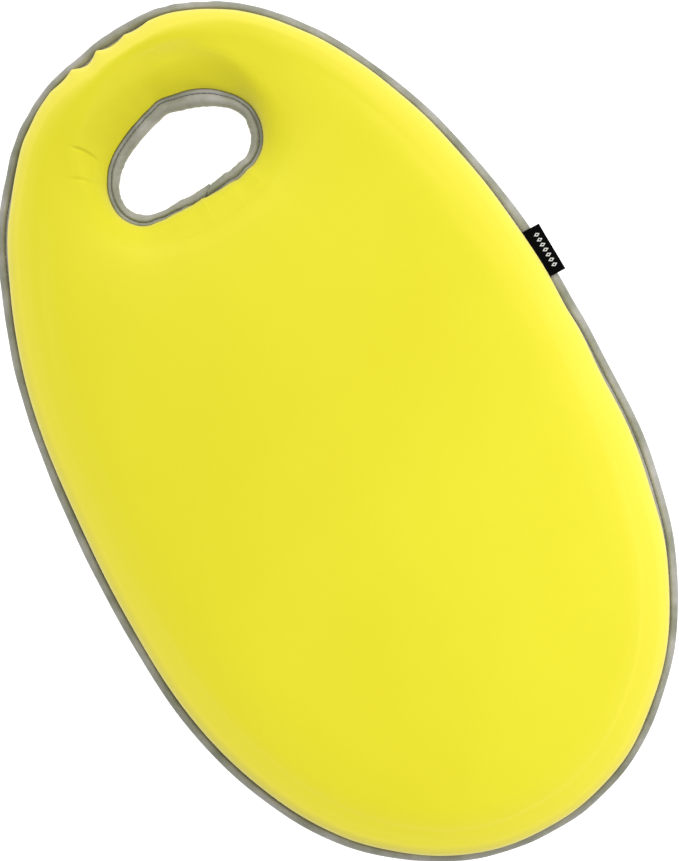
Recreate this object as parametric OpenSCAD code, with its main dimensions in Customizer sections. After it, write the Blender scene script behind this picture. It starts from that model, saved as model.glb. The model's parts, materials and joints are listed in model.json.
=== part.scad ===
// Garden kneeling cushion with a hand-hole at its narrow end.
// Two layers of foam sit in a cover of two neoprene panels. The panels meet at a
// flat seam round the outside and round the hand-hole, and a ribbed tape, folded
// over each seam and stitched down, binds it. A folded label is sewn in at one side.
//
// Frame: +Y runs towards the narrow end, +X to the label's side and +Z up, with the
// origin on the ground under the middle of the pad.

/* [Pad] */
// Length over the binding
pad_length = 480; // [460:1:520]
// Width across the middle, a little less than the widest place
pad_width = 290; // [270:1:310]
// Height of the top face
pad_height = 36; // [34:0.5:42]
// Height of the seam above the ground
seam_height = 15; // [14:0.5:18]
// Squareness of the outline, where 2 is an ellipse
pad_fullness = 2.2; // [2:0.05:2.6]
// How much narrower the hand-hole end is
pad_taper = 0.083; // [0:0.001:0.12]
// How full both ends are
pad_shoulder = 0.016; // [0:0.001:0.03]

/* [Hand-hole] */
// Width of the hand-hole inside its binding
hole_width = 76; // [70:1:90]
// Depth of the hand-hole inside its binding
hole_depth = 41; // [36:1:46]
// Distance from the pad's middle to the hand-hole's middle
hole_place = 164; // [158:1:168]
// Turn of the hand-hole about the vertical
hole_turn = 5.5; // [0:0.5:8]
// Squareness of the hand-hole
hole_fullness = 2.12; // [2:0.02:2.4]
// How much narrower the side of the hand-hole near the pad's end is
hole_taper = 0.23; // [0:0.01:0.25]
// How full both sides of the hand-hole are
hole_shoulder = 0.017; // [0:0.001:0.03]

/* [Covers] */
// Thickness of the neoprene
cover_t = 2.5; // [2:0.1:2.5]
// How far the top cover bulges out over the binding
bulge = 2.5; // [1:0.1:3]
// Height of the bulge's widest point above the seam
bulge_height = 9.2; // [8:0.1:10]
// Width of the rounded shoulder along the outer edge
shoulder_run = 16.6; // [14:0.2:20]
// Width of the slope down to the hand-hole
handle_run = 22; // [18:0.5:24]
// Width of the rounded edge under the pad
foot_run = 10; // [8:0.5:12]

/* [Foams] */
// Height of the firm foam above the seam
base_rise = 2.5; // [1:0.1:2.5]
// Clearance between the foams and the covers on curved faces
foam_gap = 0.2; // [0.1:0.05:0.4]

/* [Binding] */
// Thickness of the tape
tape_t = 0.55; // [0.4:0.05:0.6]
// How far the tape reaches over each face of the seam
tape_reach = 6.5; // [6.3:0.1:8]
// Distance of the stitching from the tape's outer edge
stitch_inset = 5.2; // [5:0.1:5.4]
// Thickness of the sewing thread
thread_d = 0.5; // [0.3:0.05:0.5]

/* [Label] */
// Length of the label along the pad's edge
label_length = 27.3; // [20:0.1:30]
// Distance from the pad's middle to the label's middle
label_place = 30.4; // [20:0.1:40]
// Reach of the label's fold from the pad's centre line
label_reach = 147.4; // [146:0.1:149]
// Width of the loose flap
flap_width = 7.6; // [7:0.1:8]
// Thickness of one layer of the label
label_t = 0.35; // [0.25:0.05:0.35]

/* [Hidden] */

yellow = [0.94, 0.91, 0.24];
under_yellow = [0.90, 0.86, 0.24];
tape_grey = [0.62, 0.62, 0.56];
thread_grey = [0.42, 0.42, 0.38];
memory_blue = [0.78, 0.88, 0.90];
base_grey = [0.36, 0.38, 0.40];
label_black = [0.03, 0.03, 0.03];

// The two closed outlines that every ring follows
EDGE = 0;
HOLE = 1;

// Stops along each outline, and how far the outer ones crowd towards the hand-hole
stop_count = 64;
stop_crowding = 32;
// Step either side of a stop that gives the outline's direction there
direction_step = 0.05;
// Steps in a quarter turn of a binding and in a rounded shoulder
fold_steps = 3;
round_steps = 5;
bulge_steps = 4;

// Gap between the tape and the panels inside it
tape_gap = 0.05;
// Radius of the panels' rounded rim, and of the tape round it
rim_r = cover_t;
tape_in_r = rim_r + tape_gap;
tape_r = tape_in_r + tape_t;
// Insets of the seam's crease, of the covers' inner walls and of the foams
crease_gap = 0.4;
crease = tape_reach + crease_gap;
wall = crease + cover_t;
foam_wall = wall + foam_gap;
// Heights above the seam of the top face and of the memory foam's face
crown = pad_height - seam_height;
foam_crown = crown - cover_t;
// Heights below the seam of the ground and of the firm foam's face
foam_floor = seam_height - cover_t;
// Insets of the middle of each rounded part of the covers
shoulder_middle = crease - bulge + shoulder_run;
handle_middle = crease + handle_run;
foot_middle = crease + foot_run;

thread_r = thread_d / 2;
thread_sides = 6;
// Half the height of the thread's six-sided section
thread_half_h = thread_r * cos(180 / thread_sides);

// The folded label's tail, its flap and the gap that lets the flap turn
label_gap = 0.3;
tail_h = 2 * label_t;
tail_margin = 0.1;
tail_reach = tape_reach - tail_margin;
fold_slot = 0.2;
fold_sides = 24;
flap_h = tail_h + fold_slot;
hinge_x = label_reach - flap_width;
hinge_height = tape_r + label_gap + flap_h / 2;
// Length of the thread's climb on to the label's tail, in stops
climb = 0.08;

// A point on an egg-shaped outline. The angle is measured from +Y towards +X.
function egg(angle, half_length, half_width, fullness, taper, shoulder) =
    let (
        reach = pow(pow(abs(cos(angle)), fullness) + pow(abs(sin(angle)), fullness), 1 / fullness),
        lengthwise = cos(angle) / reach,
        crosswise = sin(angle) / reach,
        rise = lengthwise * (1 - lengthwise * lengthwise),
        swell = 1 - taper * rise + 4 * shoulder * lengthwise * rise
    )
    [half_width * crosswise * swell, half_length * lengthwise];

function turned(point, angle) = [
    point.x * cos(angle) - point.y * sin(angle),
    point.x * sin(angle) + point.y * cos(angle),
];

function edge_outline(angle) =
    egg(angle, pad_length / 2, pad_width / 2, pad_fullness, pad_taper, pad_shoulder);

function hole_outline(angle) =
    turned(egg(angle, hole_depth / 2, hole_width / 2, hole_fullness, hole_taper, hole_shoulder), hole_turn)
    + [0, hole_place];

function outline(side, angle) = side == EDGE ? edge_outline(angle) : hole_outline(angle);

function unit(vector) = vector / norm(vector);

// The direction from an outline into the pad
function into_pad(side, angle) =
    let (run = unit(outline(side, angle + direction_step) - outline(side, angle - direction_step)))
    side == EDGE ? [run.y, -run.x] : [-run.y, run.x];

function stop_angle(side, stop) =
    let (angle = 360 * stop / stop_count)
    side == EDGE ? angle - stop_crowding * sin(angle) : angle;

even_stops = [for (i = [0 : stop_count - 1]) i];
stop_points = [for (side = [EDGE, HOLE]) [for (i = even_stops) outline(side, stop_angle(side, i))]];
stop_inward = [for (side = [EDGE, HOLE]) [for (i = even_stops) into_pad(side, stop_angle(side, i))]];

function at_stop(side, stop, inset) =
    stop_points[side][stop % stop_count] + inset * stop_inward[side][stop % stop_count];

// A point between two stops lies on the straight line that joins them
function along(side, place, inset) =
    let (stop = floor(place), part = place - stop)
    (1 - part) * at_stop(side, stop, inset) + part * at_stop(side, stop + 1, inset);

// The place on the label's side of the pad at a distance up the pad
function place_at(y, inset) =
    let (stop = max([for (i = [0 : stop_count / 2 - 1]) if (at_stop(EDGE, i, inset).y >= y) i]))
    let (above = at_stop(EDGE, stop, inset).y, below = at_stop(EDGE, stop + 1, inset).y)
    stop + (above - y) / (above - below);

label_top_place = place_at(label_place + label_length / 2, stitch_inset);
label_foot_place = place_at(label_place - label_length / 2, stitch_inset);

// Places and heights of the thread above the tape, where it crosses the label's tail
climb_profile = [
    [label_top_place - 2 * climb, 0],
    [label_top_place - climb, tail_h],
    [label_foot_place + climb, tail_h],
    [label_foot_place + 2 * climb, 0],
];

function over_tail(place) = lookup(place, climb_profile);

// The even stops, and between them the places where the thread starts or ends a climb
climbing_stops = [
    for (i = even_stops)
        each [i, for (corner = climb_profile) if (corner[0] > i && corner[0] < i + 1) corner[0]]
];

function arc(middle, run, rise, from_angle, to_angle, steps) = [
    for (i = [0 : steps])
        let (angle = from_angle + (to_angle - from_angle) * i / steps)
        middle + [run * cos(angle), rise * sin(angle)]
];

function reversed(list) = [for (i = [len(list) - 1 : -1 : 0]) list[i]];

// A cross-section is a closed list of [side, inset, height above the seam]
function on(side, points) = [for (point = points) [side, point.x, point.y]];

// Sweeps a cross-section right round the pad and closes it on itself
module ring(section, stops = even_stops, climbs = false) {
    rows = len(section);
    columns = len(stops);
    points = [
        for (corner = section)
            for (place = stops)
                let (flat = along(corner[0], place, corner[1]), rise = climbs ? over_tail(place) : 0)
                [flat.x, flat.y, seam_height + corner[2] + rise]
    ];
    faces = [
        for (row = [0 : rows - 1])
            for (column = [0 : columns - 1])
                let (
                    next_row = (row + 1) % rows,
                    next_column = (column + 1) % columns,
                    a = row * columns + column,
                    b = row * columns + next_column,
                    c = next_row * columns + next_column,
                    d = next_row * columns + column
                )
                each [[a, b, c], [a, c, d]]
    ];
    polyhedron(points = points, faces = faces);
}

// The seam allowance of one panel, from its rounded rim to the crease. Up is 1 or -1.
function rim(up) = concat(
    [for (point = arc([tape_r, 0], rim_r, rim_r, 180, 90, fold_steps)) [point.x, up * point.y]],
    [[crease, up * cover_t]]
);

// The side of the top cover that bulges out over the tape, and the shoulder above it
function bulge_side(inward) = [
    for (i = [1 : bulge_steps - 1])
        let (part = i / bulge_steps)
        [
            crease + inward - bulge * (1 - cos(180 * part)) / 2,
            cover_t + (bulge_height - cover_t) * part,
        ]
];
function top_shoulder(inward, height) = arc(
    [shoulder_middle, bulge_height], shoulder_run - inward, height - bulge_height, 180, 90, round_steps);
function top_handle_slope(inward, height) =
    arc([handle_middle, cover_t], handle_run - inward, height - cover_t, 180, 90, round_steps);
function foot(inward, depth) = [
    for (point = arc([foot_middle, cover_t], foot_run - inward, depth - cover_t, 180, 90, round_steps))
        [point.x, -point.y]
];

module top_cover() {
    outer_edge = concat(rim(1), bulge_side(0), top_shoulder(0, crown));
    outer_hole = concat(rim(1), [for (i = [1 : round_steps]) top_handle_slope(0, crown)[i]]);
    inner_hole = concat([[wall, 0]], top_handle_slope(cover_t, foam_crown));
    inner_edge = concat([[wall, 0], [wall, cover_t]], bulge_side(cover_t), top_shoulder(cover_t, foam_crown));
    color(yellow) ring(concat(
        on(EDGE, outer_edge),
        on(HOLE, reversed(outer_hole)),
        on(HOLE, inner_hole),
        on(EDGE, reversed(inner_edge))
    ));
}

module bottom_cover() {
    outer = concat(rim(-1), [for (i = [1 : round_steps]) foot(0, seam_height)[i]]);
    inner = concat([[wall, 0]], foot(cover_t, foam_floor));
    color(under_yellow) ring(reversed(concat(
        on(EDGE, outer),
        on(HOLE, reversed(outer)),
        on(HOLE, inner),
        on(EDGE, reversed(inner))
    )));
}

module memory_foam() {
    inward = cover_t + foam_gap;
    edge = concat([[foam_wall, base_rise]], bulge_side(inward), top_shoulder(inward, foam_crown));
    hole = top_handle_slope(inward, foam_crown);
    color(memory_blue) ring(concat(on(EDGE, edge), on(HOLE, reversed(hole))));
}

module eva_base() {
    side = concat([[foam_wall, base_rise]], foot(cover_t + foam_gap, foam_floor));
    color(base_grey) ring(reversed(concat(on(EDGE, side), on(HOLE, reversed(side)))));
}

// The tape's section is a fold round the rim with a flat leg on each face of the seam
module folded_tape(side) {
    outside = concat(
        [[tape_reach, tape_r]],
        arc([tape_r, 0], tape_r, tape_r, 90, 270, 2 * fold_steps),
        [[tape_reach, -tape_r]]
    );
    inside = concat(
        [[tape_reach, tape_in_r]],
        arc([tape_r, 0], tape_in_r, tape_in_r, 90, 270, 2 * fold_steps),
        [[tape_reach, -tape_in_r]]
    );
    section = on(side, concat(reversed(outside), inside));
    color(tape_grey) ring(side == EDGE ? section : reversed(section));
}

module edge_binding() {
    folded_tape(EDGE);
}

module handle_binding() {
    folded_tape(HOLE);
}

// A thread lies flat on one leg of the tape. Up is 1 on the needle's side, -1 on the bobbin's.
module thread(side, up, stops = even_stops, climbs = false) {
    middle = [stitch_inset, up * (tape_r + thread_half_h)];
    round = [
        for (i = [0 : thread_sides - 1])
            middle + thread_r * [cos(360 * i / thread_sides), sin(360 * i / thread_sides)]
    ];
    section = on(side, side == EDGE ? reversed(round) : round);
    color(thread_grey) ring(section, stops, climbs);
}

module edge_needle_thread() {
    thread(EDGE, 1, climbing_stops, true);
}

module edge_bobbin_thread() {
    thread(EDGE, -1);
}

module handle_needle_thread() {
    thread(HOLE, 1);
}

module handle_bobbin_thread() {
    thread(HOLE, -1);
}

// The sewn end of the label lies on the tape, under the thread
module label_tail() {
    top = label_place + label_length / 2;
    bottom = label_place - label_length / 2;
    outer_x = hinge_x - label_gap;
    stops_between = [for (i = even_stops) if (i > label_top_place && i < label_foot_place) i];
    places = concat([label_top_place], stops_between, [label_foot_place]);
    sewn_side = [for (place = places) along(EDGE, place, tail_reach)];
    shape = concat([[outer_x, bottom], [outer_x, top]], sewn_side);
    color(label_black)
        translate([0, 0, seam_height + tape_r])
            linear_extrude(tail_h)
                polygon(shape);
}

// The loose end of the label is a ribbon folded back on itself
module side_label() {
    fold_r = flap_h / 2;
    straight = flap_width - fold_r;
    color(label_black)
        translate([hinge_x, label_place + label_length / 2, seam_height + hinge_height])
            rotate([90, 0, 0])
                linear_extrude(label_length)
                    difference() {
                        ribbon_fold(straight, fold_r);
                        ribbon_fold(straight, fold_slot / 2);
                    }
}

module ribbon_fold(straight, radius) {
    translate([0, -radius])
        square([straight, 2 * radius]);
    translate([straight, 0])
        circle(r = radius, $fn = fold_sides);
}

top_cover();
bottom_cover();
memory_foam();
eva_base();
edge_binding();
handle_binding();
edge_needle_thread();
edge_bobbin_thread();
handle_needle_thread();
handle_bobbin_thread();
label_tail();
side_label();
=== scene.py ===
"""The looks of a garden kneeling cushion: a bound neoprene cover over two foams.

Everything is in metres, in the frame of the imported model: +Y towards the hand-hole's end,
+X towards the label's side, +Z up, and the ground at z 0.
"""

import json
import math

import bpy
import numpy as np
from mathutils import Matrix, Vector


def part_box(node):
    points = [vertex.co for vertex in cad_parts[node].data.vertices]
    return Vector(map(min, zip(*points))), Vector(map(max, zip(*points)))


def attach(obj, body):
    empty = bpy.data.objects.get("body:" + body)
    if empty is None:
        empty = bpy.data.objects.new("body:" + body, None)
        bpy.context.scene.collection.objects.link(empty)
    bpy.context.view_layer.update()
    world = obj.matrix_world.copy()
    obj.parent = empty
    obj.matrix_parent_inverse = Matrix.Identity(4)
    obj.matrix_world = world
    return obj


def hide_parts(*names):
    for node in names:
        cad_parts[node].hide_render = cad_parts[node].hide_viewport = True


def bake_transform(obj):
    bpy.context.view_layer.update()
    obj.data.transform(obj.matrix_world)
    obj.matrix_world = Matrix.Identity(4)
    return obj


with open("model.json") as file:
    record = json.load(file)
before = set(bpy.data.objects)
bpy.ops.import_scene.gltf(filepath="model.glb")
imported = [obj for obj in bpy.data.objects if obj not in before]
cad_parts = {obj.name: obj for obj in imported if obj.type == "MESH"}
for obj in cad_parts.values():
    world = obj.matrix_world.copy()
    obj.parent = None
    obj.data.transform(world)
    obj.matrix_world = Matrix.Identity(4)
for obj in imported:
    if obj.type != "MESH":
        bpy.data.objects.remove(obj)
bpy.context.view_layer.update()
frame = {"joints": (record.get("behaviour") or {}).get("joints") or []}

MM = 0.001

# ---------------------------------------------------------------- outlines

EDGE, HOLE = "edge", "hole"
binding_low, binding_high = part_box("edge_binding")
seam_z = (binding_low.z + binding_high.z) / 2


def in_mm(*changes):
    """Local changes round an outline, each given as (bearing, amount in mm, spread in degrees)."""
    return [(bearing, amount * MM, spread) for bearing, amount, spread in changes]


# Each outline is an egg. Its real, hand-sewn line wanders outwards from the egg by a little
OUTLINES = {
    EDGE: {
        "half_length": (binding_high.y - binding_low.y) / 2,
        "half_width": 145 * MM,
        "fullness": 2.2,
        "taper": 0.083,
        "shoulder": 0.016,
        "turn": 0.0,
        "place": (0.0, 0.0),
        "crowding": math.radians(32),
        "wander": in_mm(
            (0, -0.8, 5), (20, 1.0, 9), (57, -1.8, 11), (68, -0.7, 5), (84, 1.0, 4), (96, -1.1, 3),
            (98, -1.6, 12), (115, -1.2, 4), (130, -0.9, 6), (151, 0.4, 12), (198, -1.0, 12),
            (238, 0.8, 7), (245, 0.6, 4), (262, -0.6, 9), (285, 0.7, 5), (300, 1.1, 9), (315, 0.8, 5),
            (345, -1.4, 9),
        ),
    },
    HOLE: {
        "half_length": 20.5 * MM,
        "half_width": 38 * MM,
        "fullness": 2.12,
        "taper": 0.23,
        "shoulder": 0.017,
        "turn": math.radians(5.5),
        "place": (0.0, 164 * MM),
        "crowding": 0.0,
        "wander": in_mm(
            (0, -0.4, 4), (15, 0.5, 6), (38, -0.6, 12), (82, 2.4, 18), (108, 0.6, 10), (143, -0.7, 14),
            (168, 0.3, 5), (180, 1.2, 10), (213, 1.9, 11), (215, -0.4, 4), (241, -0.9, 8), (265, -0.5, 4),
            (277, -0.4, 14), (317, 1.0, 6), (323, 0.5, 3), (333, 2.4, 8), (341, 0.7, 5), (355, -1.8, 6.5),
        ),
    },
}
DIRECTION_STEP = 1e-4
WANDER_FADES = (9 * MM, 30 * MM)


def swell_at(bearing, middle, spread):
    """1 at one bearing, falling to 0 on both sides of it."""
    off = (bearing - middle + 180) % 360 - 180
    return np.exp(-((off / spread) ** 2))


def changes_at(bearing, changes):
    """The sum of local changes, each (bearing, amount, spread)."""
    return sum(amount * swell_at(bearing, middle, spread) for middle, amount, spread in changes)


def bearing_to(points, place):
    """Bearing of points from a place, in degrees: 0 along +X and 90 along +Y."""
    return np.degrees(np.arctan2(points[..., 1] - place[1], points[..., 0] - place[0])) % 360


def outline(side, angles):
    """Points on an egg-shaped outline. Angles run from +Y towards +X."""
    o = OUTLINES[side]
    a = angles - o["crowding"] * np.sin(angles)
    power = o["fullness"]
    reach = (np.abs(np.cos(a)) ** power + np.abs(np.sin(a)) ** power) ** (1 / power)
    lengthwise, crosswise = np.cos(a) / reach, np.sin(a) / reach
    rise = lengthwise * (1 - lengthwise**2)
    swell = 1 - o["taper"] * rise + 4 * o["shoulder"] * lengthwise * rise
    x, y = o["half_width"] * crosswise * swell, o["half_length"] * lengthwise
    c, s = math.cos(o["turn"]), math.sin(o["turn"])
    return np.stack([c * x - s * y, s * x + c * y], axis=-1) + np.array(o["place"])


def inward(side, angles):
    """Unit directions from an outline into the pad."""
    run = outline(side, angles + DIRECTION_STEP) - outline(side, angles - DIRECTION_STEP)
    run /= np.linalg.norm(run, axis=-1, keepdims=True)
    normal = np.stack([run[..., 1], -run[..., 0]], axis=-1)
    return normal if side == EDGE else -normal


def at(side, angles, inset, height):
    """Points at an inset into the pad from an outline's wandering line, and a height above the seam.
    The wander fades further into the pad."""
    shift = changes_at(bearing_of(side, angles), OUTLINES[side]["wander"])
    fade = 1 - smooth(*WANDER_FADES, inset)
    inset = inset + fade * (shift if side == HOLE else -shift)
    flat = outline(side, angles) + inward(side, angles) * inset[:, None]
    return np.column_stack([flat, seam_z + np.broadcast_to(height, angles.shape)])


def even_angles(count):
    return np.arange(count) * 2 * math.pi / count


def lengths_along(points):
    """The length from the first point of a line to each of its points."""
    return np.concatenate([[0], np.cumsum(np.linalg.norm(np.diff(points, axis=0), axis=1))])


def bearing_of(side, angles):
    return bearing_to(outline(side, angles), OUTLINES[side]["place"])


def smooth(low, high, x):
    t = np.clip((x - low) / (high - low), 0, 1)
    return t * t * (3 - 2 * t)


def waviness(angles, seed, lowest, highest, count=7):
    """A gentle repeating wave from -1 to 1, the same each run."""
    rng = np.random.default_rng(seed)
    turns = rng.integers(lowest, highest + 1, count)
    phases = rng.uniform(0, 2 * math.pi, count)
    return sum(np.sin(k * angles + p) for k, p in zip(turns, phases)) / count * 1.6


# ---------------------------------------------------------------- meshes


def ring_mesh(name, grid, closed):
    """A mesh piece from a grid of rows, each of which closes on itself. If closed, the last row joins the
    first. Its UV map holds real lengths: along the ring, and across it."""
    rows, columns = grid.shape[:2]
    row = np.arange(rows if closed else rows - 1)[:, None]
    column = np.arange(columns)[None, :]
    next_row, next_column = (row + 1) % rows, (column + 1) % columns
    corners = [(row, column), (next_row, column), (next_row, next_column), (row, next_column)]
    faces = np.stack([r * columns + c for r, c in corners], axis=-1).reshape(-1, 4)
    mesh = bpy.data.meshes.new(name)
    mesh.from_pydata(grid.reshape(-1, 3).tolist(), [], faces.tolist())
    middle = grid[rows // 4]
    steps = np.linalg.norm(np.roll(middle, -1, axis=0) - middle, axis=1)
    u = np.concatenate([[0], np.cumsum(steps)])
    gaps = np.linalg.norm(np.roll(grid, -1, axis=0) - grid, axis=2).mean(axis=1)
    v = np.concatenate([[0], np.cumsum(gaps)])
    shape = (len(row), columns)
    u0, u1 = np.broadcast_to(u[:-1], shape), np.broadcast_to(u[1:], shape)
    v0, v1 = np.broadcast_to(v[row], shape), np.broadcast_to(v[row + 1], shape)
    uv = np.stack([u0, v0, u0, v1, u1, v1, u1, v0], axis=-1).reshape(-1)
    layer = mesh.uv_layers.new(name="lengths")
    layer.data.foreach_set("uv", uv.astype(np.float32))
    return make_piece(name, mesh)


def make_piece(name, mesh):
    mesh.polygons.foreach_set("use_smooth", [True] * len(mesh.polygons))
    mesh.update()
    piece = bpy.data.objects.new(name, mesh)
    bpy.context.scene.collection.objects.link(piece)
    return piece


def grid_normals(grid):
    """Outward unit normals of a grid whose rows close on themselves."""
    along_ring = np.roll(grid, -1, axis=1) - np.roll(grid, 1, axis=1)
    across = np.gradient(grid, axis=0)
    normal = np.cross(across, along_ring)
    return normal / np.maximum(np.linalg.norm(normal, axis=2, keepdims=True), 1e-12)


def finer_columns(grid, count, waves):
    """The same closed rows with more columns, and no detail finer than a number of waves round the ring."""
    spectrum = np.fft.rfft(grid, axis=1)
    spectrum[:, waves + 1 :] = 0
    return np.fft.irfft(spectrum, n=count, axis=1) * (count / grid.shape[1])


# ---------------------------------------------------------------- simulation

SIM_FRAMES = 20
SIM_COLUMN_STEP = 4
SIM_ROW_STEP = 2
# The foam's pressure on each cover panel, and the most that a panel moves
TOP_PRESSURE, TOP_CAP = 4.0, 2.0 * MM
BOTTOM_PRESSURE, BOTTOM_CAP = 3.0, 1.2 * MM
# Thick neoprene doesn't ripple: it puffs up in no more waves than this round the pad
SIM_WAVES = 8


def inflate(name, grid, pinned, pressure, cap):
    """Cloth simulation of one cover panel, pinned along its seams and pressed out by the foam.
    Gives the movement of each point of the grid, held to the cap."""
    sheet = ring_mesh(name, grid, closed=False)
    pins = sheet.vertex_groups.new(name="seams")
    columns = grid.shape[1]
    for row, hold in enumerate(pinned):
        if hold > 0:
            pins.add(list(range(row * columns, (row + 1) * columns)), float(hold), "REPLACE")
    cloth = sheet.modifiers.new("cloth", "CLOTH")
    settings = cloth.settings
    settings.quality = 6
    settings.mass = 0.3
    settings.tension_stiffness = 15
    settings.compression_stiffness = 15
    settings.shear_stiffness = 8
    settings.bending_stiffness = 1.5
    settings.use_pressure = True
    settings.uniform_pressure_force = pressure
    settings.vertex_group_mass = pins.name
    settings.effector_weights.gravity = 0
    cloth.collision_settings.use_collision = False
    cloth.point_cache.frame_start = 1
    cloth.point_cache.frame_end = SIM_FRAMES
    scene = bpy.context.scene
    for step in range(1, SIM_FRAMES + 1):
        scene.frame_set(step)
    solved = sheet.evaluated_get(bpy.context.evaluated_depsgraph_get()).to_mesh()
    points = np.zeros(len(solved.vertices) * 3, np.float32)
    solved.vertices.foreach_get("co", points)
    bpy.data.objects.remove(sheet)
    scene.frame_set(1)
    moved = points.reshape(grid.shape).astype(float) - grid
    size = np.linalg.norm(moved, axis=2, keepdims=True)
    return moved * cap / np.sqrt(cap**2 + size**2)


def simulate(name, grid, pinned, pressure, cap):
    """Runs the simulation on every few rows and columns of a grid, and gives the whole grid's movement."""
    rows, columns = grid.shape[:2]
    sewn = {i for i in range(rows) if pinned[i] >= 1}
    kept = sorted(set(range(0, rows, SIM_ROW_STEP)) | {rows - 1} | sewn)
    coarse = inflate(name, grid[kept][:, ::SIM_COLUMN_STEP], [pinned[i] for i in kept], pressure, cap)
    wide = finer_columns(coarse, columns, SIM_WAVES)
    index = np.arange(rows)
    moved = np.empty_like(grid)
    for column in range(columns):
        for axis in range(3):
            moved[:, column, axis] = np.interp(index, kept, wide[:, column, axis])
    for _ in range(2 * SIM_ROW_STEP):
        moved[1:-1] = (moved[:-2] + 2 * moved[1:-1] + moved[2:]) / 4
    return moved * (1 - np.array(pinned))[:, None, None]


# ---------------------------------------------------------------- sizes of the seams and covers

COVER_T = 2.5 * MM
TAPE_T = 0.55 * MM
TAPE_R = 3.1 * MM
# Height of the tape above the seam where it is sewn down, and of the panel under it
SEWN_H = 2.3 * MM
GROOVE_HALF = 0.36 * MM
GROOVE_DEPTH = 0.42 * MM
SEWN_DIP = 0.12 * MM
CREASE_H = SEWN_H - GROOVE_DEPTH - SEWN_DIP - TAPE_T - 0.05 * MM
FLANGE_START = 2.7 * MM
# The crease where a panel leaves the edge tape, and how far past its lip or the tape's edge it lies
CREASE = 6.9 * MM
CREASE_GAP = 0.4 * MM
# The top panel is drawn a little low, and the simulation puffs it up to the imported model's height
PUFF = 1.9 * MM
crown_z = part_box("top_cover")[1].z - seam_z - PUFF
STITCH_PITCH = 3.1 * MM

# The hand-hole's tape shows wider on the far side: insets of its stitching and of its edge, and their changes
HOLE_STITCH = 4.4 * MM
HOLE_REACH = 6.4 * MM
# Small changes that the stitching and the edge share, because the tape was sewn by hand
HOLE_SEWING_CHANGES = in_mm(
    (33, 0.35, 14), (165, 0.35, 9), (204, 0.6, 7), (215, -0.6, 6), (237, 0.3, 6), (316, 0.7, 9),
    (345, 0.55, 6), (355, 0.3, 6),
)
HOLE_STITCH_CHANGES = in_mm(
    (45, 1.7, 24), (90, 1.5, 42), (140, 0.5, 25), (188, -0.8, 20), (228, -0.8, 12), (270, 0.6, 36),
) + HOLE_SEWING_CHANGES
HOLE_REACH_CHANGES = in_mm(
    (45, 2.1, 24), (90, 1.4, 42), (140, 0.6, 25), (188, -0.8, 20), (228, -1.2, 12), (270, -0.3, 40),
) + HOLE_SEWING_CHANGES
# The edge tape's stitching runs further in where it holds the label's tail
EDGE_STITCH = 4.6 * MM
EDGE_STITCH_CHANGES = in_mm((12, 0.7, 14))
EDGE_REACH = 6.5 * MM


def stitch_inset(side, angles):
    if side == EDGE:
        drawn = SCALLOP_SEWING * scallops(angles).clip(0)
        return EDGE_STITCH + changes_at(bearing_of(side, angles), EDGE_STITCH_CHANGES) + drawn
    return HOLE_STITCH + changes_at(bearing_of(side, angles), HOLE_STITCH_CHANGES)


def tape_reach(side, angles):
    if side == EDGE:
        return np.full(np.shape(angles), EDGE_REACH)
    return HOLE_REACH + changes_at(bearing_of(side, angles), HOLE_REACH_CHANGES)


# ---------------------------------------------------------------- covers

COVER_COLUMNS = 720
# Rows of a panel that lie between the two legs of a tape
FLANGE_ROWS = 4
# A panel's inner face has one row for this many of its outer face
INNER_ROW_STEP = 2
# The neoprene is squeezed to this share of its thickness in a seam, and fills out over this many rows
SQUEEZED_SHARE = 0.55
SQUEEZED_ROWS = 5
# Each panel's flange stays this far from the seam's middle
PANEL_GAP = 0.02 * MM

# The top panel bulges out over the tape. Its lip, the widest line of the bulge, lies at this inset and
# height, and further in or out near these bearings
LIP_H = 6.5 * MM
LIP_INSET = 5.3 * MM
LIP_CHANGES = in_mm(
    (0, 0.2, 12), (20, 0.8, 8), (55, -0.5, 18), (90, 0.3, 20), (121, 1.2, 7), (152, -0.4, 9),
    (180, 0.4, 10), (233, 0.3, 12), (262, -1.0, 13), (326, 1.4, 14), (345, 0.9, 9),
)
LIP_WAVE = 0.15 * MM
LIP_STEPS = 7
# The panel rounds over from its lip to its crown in this run. The simulation holds the first part of it,
# most firmly at the lip
SHOULDER_RUN = 16.6 * MM
SHOULDER_STEPS = 18
HELD_SHOULDER = 9 * MM
LIP_HOLD = 0.9
TOP_STEPS = 30
# The top is a low dome: its rim lies this much under the crown
DOME = 1.3 * MM

# The slope down to the hand-hole: its run and fullness on the near side, and how much longer and less full
# it is on the far side
HANDLE_RUN, HANDLE_FAR_LONGER = 31.5 * MM, 9 * MM
HANDLE_FULLNESS, HANDLE_FAR_LESS_FULL = 1.75, 0.7
# The panel's rows follow the hand-hole over this run, and the pad's edge beyond it
HANDLE_ROWS_RUN = 15 * MM
HANDLE_STEPS, HANDLE_HELD_STEPS = 24, 4
HANDLE_SLOPE_POWER = 3
HANDLE_LIP_H = 3.9 * MM
HANDLE_LIP_STEPS = 5
# How far the top panel hangs over the hand-hole's tape, and where it hangs further
HANDLE_HANG = 0.25 * MM
HANDLE_HANG_CHANGES = in_mm((268, 0.7, 26), (256, 0.9, 10))

FOOT_RUN = 10 * MM
FOOT_STEPS, FOOT_HELD_STEPS = 14, 4
BOTTOM_STEPS = 20
# How softly the bottom panel flattens where it rests on the ground
RESTING = 0.3 * MM

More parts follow.
